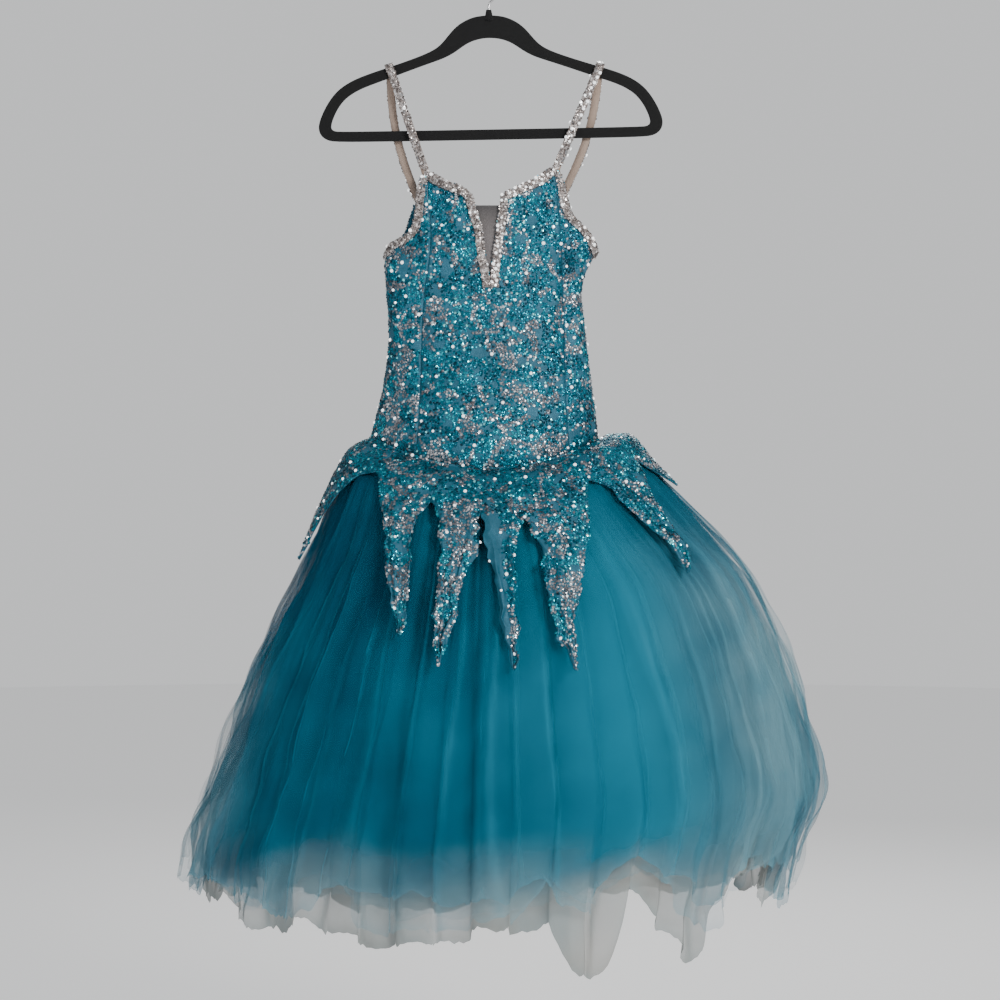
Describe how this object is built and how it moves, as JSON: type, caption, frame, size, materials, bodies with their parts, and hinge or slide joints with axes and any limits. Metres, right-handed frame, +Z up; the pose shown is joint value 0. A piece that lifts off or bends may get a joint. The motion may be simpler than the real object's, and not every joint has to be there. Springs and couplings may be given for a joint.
{
  "type": "dance dress on hanger",
  "caption": "Long strappy dance dress with a sequin bodice, pointed overskirt and gathered tulle skirts, hanging from a slim flocked hanger.",
  "frame": {"origin": "inside the crown of the hanger's hook, where a rail touches it", "axes": "+Z up, the dress's front faces -Y, +X is to the right of someone who looks at the front"},
  "size_m": [0.8521, 0.4888, 1.2552],
  "materials": {
    "sequin_cloth": "small blue and silver sequins sewn close together on stretch cloth",
    "silver_trim": "silver sequin braid with small stones",
    "nude_mesh": "fine matt stretch net",
    "strap_elastic": "matt woven elastic",
    "tulle_blue": "thin see-through net, several layers",
    "tulle_ivory": "thin see-through net, several layers",
    "hanger_flock": "black flock on plastic",
    "hook_steel": "bright plated wire"
  },
  "bodies": {
    "root": {"hanger": "hanger_flock", "hanger_hook": "hook_steel", "strap_left": "strap_elastic", "strap_right": "strap_elastic", "trim_strap_left": "silver_trim", "trim_strap_right": "silver_trim", "bodice_front": "sequin_cloth", "bodice_side_left": "sequin_cloth", "bodice_side_right": "sequin_cloth", "bodice_back": "sequin_cloth", "plunge_mesh": "nude_mesh", "trim_neck_left": "silver_trim", "trim_neck_right": "silver_trim", "trim_armhole_left": "silver_trim", "trim_armhole_right": "silver_trim", "overskirt": "sequin_cloth", "tulle_overlayer": "tulle_blue", "tulle_petticoat": "tulle_ivory"}
  },
  "joints": []
}
